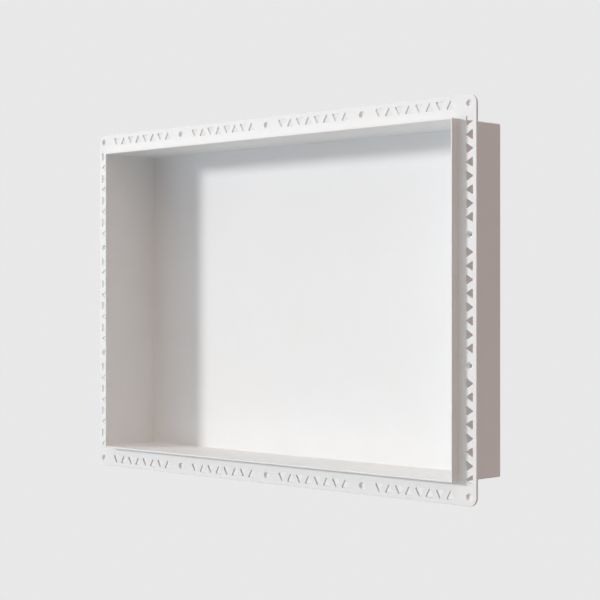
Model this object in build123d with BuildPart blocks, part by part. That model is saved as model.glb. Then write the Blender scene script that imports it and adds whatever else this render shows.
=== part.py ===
import math
import os

from build123d import *

os.makedirs("parts", exist_ok=True)

# Shower niche insert: one thin-walled moulding, open at the front, with a perforated flange all round.
# Origin: centre of the flange's rear face. X right, Y into the wall, Z up.

# recess
inner_width = 605.0
inner_height = 400.0
inner_depth = 86.0
wall = 2.0
inner_corner_r = 1.0
outer_corner_r = 1.5

# lip that stands ahead of the flange and meets the face of the tiles
lip_length = 11.0
lip_edge_break = min(0.4, 0.25 * wall)

# flange
flange_reach = 25.5
flange_thickness = 2.5
flange_edge_break = min(0.4, 0.25 * flange_thickness)

# screw holes, equally spaced round the flange, one in each corner
hole_edge_gap = 10.0
holes_across = 5
holes_up = 4
hole_d = 4.2
sink_angle = 90.0
sink_land = 0.2

# rounded triangles between the screw holes, pointing to and fro
tri_side = 12.5
tri_corner_r = 1.1
tri_corner_sides = 9
tri_pitch = 15.2
tri_hole_gap = 6.0

# sizes that follow
outer_width = inner_width + 2 * wall
outer_height = inner_height + 2 * wall
outer_depth = inner_depth + wall
flange_width = outer_width + 2 * flange_reach
flange_height = outer_height + 2 * flange_reach
hole_span_x = flange_width - 2 * hole_edge_gap
hole_span_z = flange_height - 2 * hole_edge_gap
hole_pitch_x = hole_span_x / (holes_across - 1)
hole_pitch_z = hole_span_z / (holes_up - 1)
sink_depth = flange_thickness - sink_land
sink_d = hole_d + 2 * sink_depth * math.tan(math.radians(sink_angle / 2))
flange_corner_r = hole_edge_gap
lip_front = flange_thickness + lip_length
back_face = outer_depth - lip_front
same_plane = 0.01

# distance from a triangle's centre to the middle of its rounded outline
tri_radius = tri_side / math.sqrt(3)
tri_shift = (tri_radius / 2 - tri_corner_r) / 2


def faces_at(body, y):
    """Flat faces that lie across Y at this place."""
    return body.faces().filter_by(Axis.Y).filter_by_position(Axis.Y, y - same_plane, y + same_plane)


def row_places(pitch):
    """Places of the triangles in one gap between screw holes, as offsets from the middle of the gap."""
    room = pitch - sink_d - 2 * tri_hole_gap - tri_side
    pairs = int((room / tri_pitch + 1) // 2)
    count = 2 * max(pairs, 0)
    return [(i - (count - 1) / 2) * tri_pitch for i in range(count)]


# screw holes as places in X and Z
hole_xs = [-hole_span_x / 2 + i * hole_pitch_x for i in range(holes_across)]
hole_zs = [hole_span_z / 2 - i * hole_pitch_z for i in range(holes_up)]
hole_places = [(x, z) for x in hole_xs for z in (hole_zs[0], hole_zs[-1])]
hole_places += [(x, z) for x in (hole_xs[0], hole_xs[-1]) for z in hole_zs[1:-1]]

# triangles by the way they point: along the top and bottom they point down and up in turn,
# down each side they point right and left in turn
point_up = []
point_down = []
point_right = []
point_left = []
for i in range(holes_across - 1):
    middle = (hole_xs[i] + hole_xs[i + 1]) / 2
    for n, step in enumerate(row_places(hole_pitch_x)):
        for z in (hole_zs[0], hole_zs[-1]):
            if n % 2 == 0:
                point_down.append((middle + step, z + tri_shift))
            else:
                point_up.append((middle + step, z - tri_shift))
for i in range(holes_up - 1):
    middle = (hole_zs[i] + hole_zs[i + 1]) / 2
    for n, step in enumerate(row_places(hole_pitch_z)):
        for x in (hole_xs[0], hole_xs[-1]):
            if n % 2 == 0:
                point_right.append((x - tri_shift, middle - step))
            else:
                point_left.append((x + tri_shift, middle - step))

# one rounded triangle, pointing to the right, each corner a part of a small many-sided disc
with BuildSketch() as triangle:
    with PolarLocations(tri_radius - 2 * tri_corner_r, 3):
        RegularPolygon(radius=tri_corner_r, side_count=tri_corner_sides, major_radius=False)
    make_hull()

# all the triangles, in the plane of the flange
with BuildSketch(Plane.XZ) as perforation:
    for places, turn in ((point_right, 0), (point_up, 90), (point_left, 180), (point_down, 270)):
        with Locations(*places):
            add(triangle.sketch, rotation=turn)

with BuildPart() as niche_insert:
    # outside of the recess, from the lip's front edge to the back
    with BuildSketch(Plane.XZ.offset(lip_front)):
        RectangleRounded(outer_width, outer_height, outer_corner_r)
    extrude(amount=-outer_depth)
    fillet(faces_at(niche_insert, back_face).edges(), radius=outer_corner_r)

    # flange, its corners round about the corner screws
    with BuildSketch(Plane.XZ):
        RectangleRounded(flange_width, flange_height, flange_corner_r)
    extrude(amount=flange_thickness)
    chamfer(faces_at(niche_insert, -flange_thickness)[0].outer_wire().edges(), length=flange_edge_break)

    # hollow, and the lip's edges, broken
    with BuildSketch(Plane.XZ.offset(lip_front)):
        RectangleRounded(inner_width, inner_height, inner_corner_r)
    extrude(amount=-inner_depth, mode=Mode.SUBTRACT)
    fillet(faces_at(niche_insert, back_face - wall).edges(), radius=inner_corner_r)
    chamfer(faces_at(niche_insert, -lip_front).edges(), length=lip_edge_break)

    # countersunk screw holes
    with Locations(Plane.XZ.offset(flange_thickness)):
        with Locations(*hole_places):
            CounterSinkHole(hole_d / 2, sink_d / 2, depth=flange_thickness, counter_sink_angle=sink_angle)

    # triangles through the flange
    extrude(perforation.sketch, amount=flange_thickness, mode=Mode.SUBTRACT)

niche_insert.part.label = "niche_insert"
export_step(niche_insert.part, "parts/niche_insert.step")
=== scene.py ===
import math

import bpy
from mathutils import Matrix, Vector

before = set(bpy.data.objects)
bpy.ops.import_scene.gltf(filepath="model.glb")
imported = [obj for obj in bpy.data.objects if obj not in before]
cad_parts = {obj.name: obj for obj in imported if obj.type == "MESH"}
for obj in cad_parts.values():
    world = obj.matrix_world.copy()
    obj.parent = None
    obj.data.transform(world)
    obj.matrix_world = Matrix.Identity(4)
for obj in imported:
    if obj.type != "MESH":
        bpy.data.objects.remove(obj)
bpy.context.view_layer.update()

# Lengths are in metres, in the frame of the part: X right, Y into the wall, Z up.

# camera, fitted to the screw holes and the edges of the flange, the lip and the recess
IMAGE_PX = 600
FOCAL_PX = 1606.6
SENSOR_MM = 36.0
CAMERA_AT = Vector((1.4265, -1.3990, 0.0003))
CAMERA_TURN = math.radians(44.41)

# key lamp, from the front and the left; the shadows in the recess give its direction
KEY_TOWARDS = Vector((-1.16, -1.0, 0.295))
KEY_ANGLE = math.radians(8.0)
KEY_STRENGTH = 1.76

# softboxes all round: the direction towards each, and the light from its middle
SOFTBOX_FALL = 6.0
SOFTBOXES = (
    (Vector((-1.0, -1.0, -0.6)), (1.22, 1.21, 1.13)),  # left, low
    (Vector((-0.5, -1.0, -0.6)), (1.05, 1.30, 1.69)),  # front left, low
    (Vector((-0.8, -0.6, -1.0)), (0.31, 0.37, 0.33)),  # left, from below
    (Vector((1.0, -1.0, 1.0)), (0.78, 0.57, 0.43)),  # front right, high
    (Vector((1.0, 0.6, 1.0)), (0.36, 0.09, 0.04)),  # back right, high
    (Vector((0.0, -0.4, 1.0)), (1.13, 1.23, 1.27)),  # above
    (Vector((0.0, 1.0, 1.0)), (1.40, 1.56, 1.60)),  # behind, high
    (Vector((-0.7, 1.0, 0.3)), (1.70, 1.75, 1.80)),  # behind, left
)

# pale background, and a floor that is lifted towards it where it is seen directly
BACKGROUND = (0.81, 0.81, 0.81)
FLOOR_DROP = 1.1
FLOOR_RADIUS = 3.6
FLOOR_CORNERS = 128
FLOOR_COLOR = (0.44, 0.45, 0.45)
FLOOR_LIFT = 0.5

# white moulded plastic, whose whiteness and roughness follow a cloud of noise
PLASTIC_IOR = 1.5
CLOUD_SIZE = 0.12
CLOUD_DETAIL = 4.0
CLOUD_ROUGHNESS = 0.6
CLOUD_LOW, CLOUD_HIGH = 0.3, 0.7
WARM_WHITE = (0.840, 0.833, 0.823)
COOL_WHITE = (0.866, 0.866, 0.866)
LOW_ROUGHNESS, HIGH_ROUGHNESS = 0.56, 0.66

# relief of the plastic: a slow wave and a fine grain
WAVE_SIZE = 0.09
WAVE_DETAIL = 1.0
WAVE_HEIGHT = 0.0002
WAVE_STRENGTH = 0.3
GRAIN_SIZE = 0.001
GRAIN_DETAIL = 2.0
GRAIN_HEIGHT = 0.00015
GRAIN_STRENGTH = 0.5


def add_camera():
    """The photograph's view: level, with the image's centre on the optical axis."""
    data = bpy.data.cameras.new("camera")
    data.sensor_fit = "HORIZONTAL"
    data.sensor_width = SENSOR_MM
    data.lens = FOCAL_PX * SENSOR_MM / IMAGE_PX
    camera = bpy.data.objects.new("camera", data)
    camera.location = CAMERA_AT
    camera.rotation_euler = (math.pi / 2, 0.0, CAMERA_TURN)
    bpy.context.scene.collection.objects.link(camera)
    bpy.context.scene.camera = camera


def add_key():
    """One far lamp, so that its light is nearly parallel."""
    data = bpy.data.lights.new("key", "SUN")
    data.angle = KEY_ANGLE
    data.energy = KEY_STRENGTH
    key = bpy.data.objects.new("key", data)
    key.rotation_euler = KEY_TOWARDS.to_track_quat("Z", "Y").to_euler()
    bpy.context.scene.collection.objects.link(key)


def link(tree, source, target):
    tree.links.new(source, target)


def add_node(tree, kind, **settings):
    """A new node, with its settings and the values of its named inputs."""
    node = tree.nodes.new(kind)
    for name, value in settings.items():
        if name in node.inputs:
            node.inputs[name].default_value = value
        else:
            setattr(node, name, value)
    return node


def seen_directly(tree):
    """1 for camera, glossy and glass rays, 0 for rays that light a surface."""
    path = add_node(tree, "ShaderNodeLightPath")
    total = path.outputs["Is Camera Ray"]
    for name in ("Is Glossy Ray", "Is Transmission Ray"):
        larger = add_node(tree, "ShaderNodeMath", operation="MAXIMUM")
        link(tree, total, larger.inputs[0])
        link(tree, path.outputs[name], larger.inputs[1])
        total = larger.outputs[0]
    return total


def softbox(tree, direction, towards, light):
    """Light that is full along one direction and falls away round it."""
    turned = add_node(tree, "ShaderNodeVectorMath", operation="DOT_PRODUCT")
    link(tree, direction, turned.inputs[0])
    turned.inputs[1].default_value = towards.normalized()
    ahead = add_node(tree, "ShaderNodeMath", operation="MAXIMUM")
    link(tree, turned.outputs["Value"], ahead.inputs[0])
    ahead.inputs[1].default_value = 0.0
    share = add_node(tree, "ShaderNodeMath", operation="POWER")
    link(tree, ahead.outputs[0], share.inputs[0])
    share.inputs[1].default_value = SOFTBOX_FALL
    glow = add_node(tree, "ShaderNodeVectorMath", operation="SCALE")
    glow.inputs[0].default_value = light
    link(tree, share.outputs[0], glow.inputs["Scale"])
    return glow.outputs[0]


def all_softboxes(tree):
    """The light of the softboxes, added up for each direction."""
    coords = add_node(tree, "ShaderNodeTexCoord")
    total = None
    for towards, light in SOFTBOXES:
        glow = softbox(tree, coords.outputs["Generated"], towards, light)
        if total is None:
            total = glow
            continue
        both = add_node(tree, "ShaderNodeVectorMath", operation="ADD")
        link(tree, total, both.inputs[0])
        link(tree, glow, both.inputs[1])
        total = both.outputs[0]
    return total


def add_world():
    """Softboxes that light the part, and a plain pale background that is seen."""
    world = bpy.data.worlds.new("studio")
    world.use_nodes = True
    bpy.context.scene.world = world
    tree = world.node_tree
    tree.nodes.clear()
    soft = add_node(tree, "ShaderNodeBackground")
    link(tree, all_softboxes(tree), soft.inputs["Color"])
    plain = add_node(tree, "ShaderNodeBackground", Color=(*BACKGROUND, 1.0))
    mix = add_node(tree, "ShaderNodeMixShader")
    link(tree, seen_directly(tree), mix.inputs[0])
    link(tree, soft.outputs[0], mix.inputs[1])
    link(tree, plain.outputs[0], mix.inputs[2])
    output = add_node(tree, "ShaderNodeOutputWorld")
    link(tree, mix.outputs[0], output.inputs["Surface"])


def floor_paint():
    """Matt paint that takes shadows, lifted by a glow where it is seen directly."""
    material = bpy.data.materials.new("floor")
    material.use_nodes = True
    tree = material.node_tree
    tree.nodes.clear()
    matt = add_node(tree, "ShaderNodeBsdfDiffuse", Color=(*FLOOR_COLOR, 1.0))
    glow = add_node(tree, "ShaderNodeEmission", Color=(*BACKGROUND, 1.0))
    lift = add_node(tree, "ShaderNodeMath", operation="MULTIPLY")
    lift.inputs[1].default_value = FLOOR_LIFT
    link(tree, seen_directly(tree), lift.inputs[0])
    link(tree, lift.outputs[0], glow.inputs["Strength"])
    both = add_node(tree, "ShaderNodeAddShader")
    link(tree, matt.outputs[0], both.inputs[0])
    link(tree, glow.outputs[0], both.inputs[1])
    output = add_node(tree, "ShaderNodeOutputMaterial")
    link(tree, both.outputs[0], output.inputs["Surface"])
    return material


def add_floor():
    """A round pale floor, as far below the niche as where one is built in."""
    bpy.ops.mesh.primitive_circle_add(
        vertices=FLOOR_CORNERS,
        radius=FLOOR_RADIUS,
        fill_type="NGON",
        location=(0.0, 0.0, -FLOOR_DROP),
    )
    floor = bpy.context.object
    floor.name = "floor"
    floor.data.materials.append(floor_paint())


def noise(tree, size, detail, **settings):
    """Noise fixed to the part, with blotches of about this size."""
    coords = add_node(tree, "ShaderNodeTexCoord")
    texture = add_node(
        tree, "ShaderNodeTexNoise", Scale=1 / size, Detail=detail, **settings
    )
    link(tree, coords.outputs["Object"], texture.inputs["Vector"])
    return texture.outputs["Fac"]


def whiteness(tree, cloud):
    """White that goes from warm to cool as the cloud rises."""
    ramp = add_node(tree, "ShaderNodeValToRGB")
    low, high = ramp.color_ramp.elements
    low.position, high.position = CLOUD_LOW, CLOUD_HIGH
    low.color, high.color = (*WARM_WHITE, 1.0), (*COOL_WHITE, 1.0)
    link(tree, cloud, ramp.inputs["Fac"])
    return ramp.outputs["Color"]


def roughness(tree, cloud):
    """A satin surface that gets slightly duller as the cloud rises."""
    span = add_node(tree, "ShaderNodeMapRange")
    span.inputs["From Min"].default_value = CLOUD_LOW
    span.inputs["From Max"].default_value = CLOUD_HIGH
    span.inputs["To Min"].default_value = LOW_ROUGHNESS
    span.inputs["To Max"].default_value = HIGH_ROUGHNESS
    link(tree, cloud, span.inputs["Value"])
    return span.outputs["Result"]


def relief(tree):
    """The surface's direction: a fine moulded grain on a slow wave."""
    slow = add_node(
        tree, "ShaderNodeBump", Strength=WAVE_STRENGTH, Distance=WAVE_HEIGHT
    )
    link(tree, noise(tree, WAVE_SIZE, WAVE_DETAIL), slow.inputs["Height"])
    fine = add_node(
        tree, "ShaderNodeBump", Strength=GRAIN_STRENGTH, Distance=GRAIN_HEIGHT
    )
    link(tree, noise(tree, GRAIN_SIZE, GRAIN_DETAIL), fine.inputs["Height"])
    link(tree, slow.outputs["Normal"], fine.inputs["Normal"])
    return fine.outputs["Normal"]


def white_plastic():
    """Satin white moulded plastic."""
    material = bpy.data.materials.new("white_plastic")
    material.use_nodes = True
    tree = material.node_tree
    shader = tree.nodes["Principled BSDF"]
    shader.inputs["IOR"].default_value = PLASTIC_IOR
    cloud = noise(tree, CLOUD_SIZE, CLOUD_DETAIL, Roughness=CLOUD_ROUGHNESS)
    link(tree, whiteness(tree, cloud), shader.inputs["Base Color"])
    link(tree, roughness(tree, cloud), shader.inputs["Roughness"])
    link(tree, relief(tree), shader.inputs["Normal"])
    return material


def dress(node, material):
    """Gives a node of the model its material."""
    node.data.materials.clear()
    node.data.materials.append(material)


bpy.context.scene.view_settings.view_transform = "Standard"
add_camera()
add_key()
add_world()
add_floor()
dress(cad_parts["niche_insert"], white_plastic())
